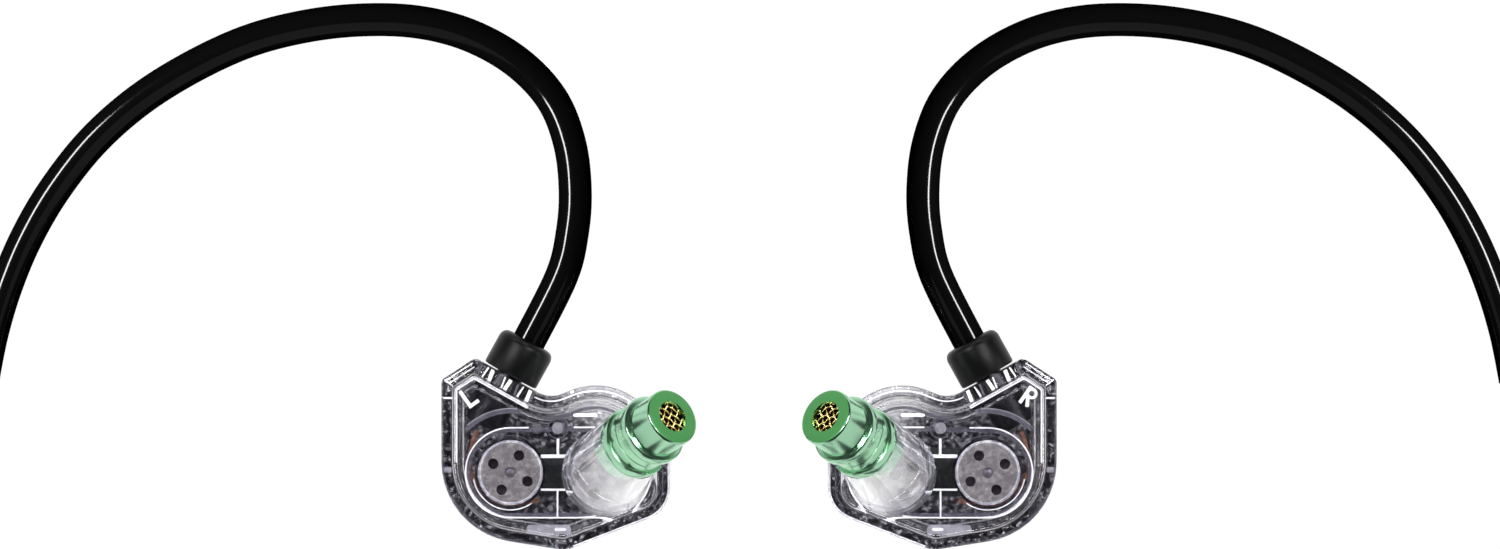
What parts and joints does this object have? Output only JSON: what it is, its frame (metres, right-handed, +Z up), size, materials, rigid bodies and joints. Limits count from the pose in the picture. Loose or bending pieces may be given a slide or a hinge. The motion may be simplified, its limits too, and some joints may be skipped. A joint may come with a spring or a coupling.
{
  "type": "in-ear monitors",
  "caption": "Pair of in-ear monitors: clear shells with drivers, angled metal nozzles, swivelling detachable over-ear cables, splitter, chin slider and stereo jack plug.",
  "frame": {"origin": "on the table under the middle of the pair, measured without the cable beyond the ear hooks", "axes": "+X from the left earpiece to the right one, +Y towards the tops of the ear hooks, +Z up from the table, towards the ear side of the earpieces"},
  "size_m": [0.1664, 0.118, 0.021],
  "materials": {
    "smoked_polycarbonate": "clear, smoke tinted, polished",
    "clear_polycarbonate": "clear, polished",
    "green_anodised": "bright green anodised, polished",
    "gold_mesh": "woven gold-coloured wire",
    "damper": "matt",
    "steel_can": "satin",
    "magnet_steel": "nickel plated",
    "film": "thin film",
    "board": "solder mask",
    "copper_wire": "enamelled copper",
    "gold_plate": "gold plated",
    "insulator": "fluoropolymer",
    "white_ink": "printed ink",
    "moulded_black": "fine matt texture",
    "glossy_sleeve": "high gloss tubing",
    "cable_jacket": "satin",
    "tie_fabric": "woven hook-and-loop tape",
    "jack_band": "black moulding"
  },
  "bodies": {
    "cable_set": {"left_plug_sleeve": "gold_plate", "left_plug_insulator": "insulator", "left_plug_pin": "gold_plate", "left_collar": "moulded_black", "left_ear_hook": "glossy_sleeve", "left_lead": "cable_jacket", "left_lead_coil": "cable_jacket", "right_plug_sleeve": "gold_plate", "right_plug_insulator": "insulator", "right_plug_pin": "gold_plate", "right_collar": "moulded_black", "right_ear_hook": "glossy_sleeve", "right_lead": "cable_jacket", "right_lead_coil": "cable_jacket", "splitter": "moulded_black", "main_lead": "cable_jacket", "main_lead_coil": "cable_jacket", "cable_ties": "tie_fabric", "jack_strain_relief": "moulded_black", "jack_handle": "moulded_black", "jack_insulator": "jack_band", "jack_sleeve": "gold_plate", "jack_ring": "gold_plate", "jack_tip": "gold_plate"},
    "left_ring": {"left_snap_ring": "gold_plate"},
    "left_earpiece": {"left_outer_shell": "smoked_polycarbonate", "left_inner_shell": "smoked_polycarbonate", "left_stem": "clear_polycarbonate", "left_nozzle": "green_anodised", "left_nozzle_screen": "gold_mesh", "left_acoustic_damper": "damper", "left_rear_driver_case": "steel_can", "left_front_driver_case": "steel_can", "left_driver_magnets": "magnet_steel", "left_driver_diaphragms": "film", "left_crossover_board": "board", "left_signal_wires": "copper_wire", "left_socket_sleeve": "gold_plate", "left_socket_insulator": "insulator", "left_socket_contact": "gold_plate", "left_channel_letter": "white_ink"},
    "right_ring": {"right_snap_ring": "gold_plate"},
    "right_earpiece": {"right_outer_shell": "smoked_polycarbonate", "right_inner_shell": "smoked_polycarbonate", "right_stem": "clear_polycarbonate", "right_nozzle": "green_anodised", "right_nozzle_screen": "gold_mesh", "right_acoustic_damper": "damper", "right_rear_driver_case": "steel_can", "right_front_driver_case": "steel_can", "right_driver_magnets": "magnet_steel", "right_driver_diaphragms": "film", "right_crossover_board": "board", "right_signal_wires": "copper_wire", "right_socket_sleeve": "gold_plate", "right_socket_insulator": "insulator", "right_socket_contact": "gold_plate", "right_channel_letter": "white_ink"},
    "chin_slider": {"chin_slider": "moulded_black"}
  },
  "joints": [
    {"name": "left_swivel", "type": "hinge", "parent": "cable_set", "child": "left_ring", "pos_m": [-0.0252, -0.01057, 0.0046], "axis": [0.4848, 0.8746, 0], "continuous": true},
    {"name": "left_unplug", "type": "slide", "parent": "left_ring", "child": "left_earpiece", "axis": [-0.4848, -0.8746, 0], "range_m": [0, 0.0045]},
    {"name": "right_swivel", "type": "hinge", "parent": "cable_set", "child": "right_ring", "pos_m": [0.0252, -0.01057, 0.0046], "axis": [-0.4848, 0.8746, 0], "continuous": true},
    {"name": "right_unplug", "type": "slide", "parent": "right_ring", "child": "right_earpiece", "axis": [0.4848, -0.8746, 0], "range_m": [0, 0.0045]},
    {"name": "chin_slide", "type": "slide", "parent": "cable_set", "child": "chin_slider", "axis": [0, 1, 0], "range_m": [0, 0.014]}
  ]
}
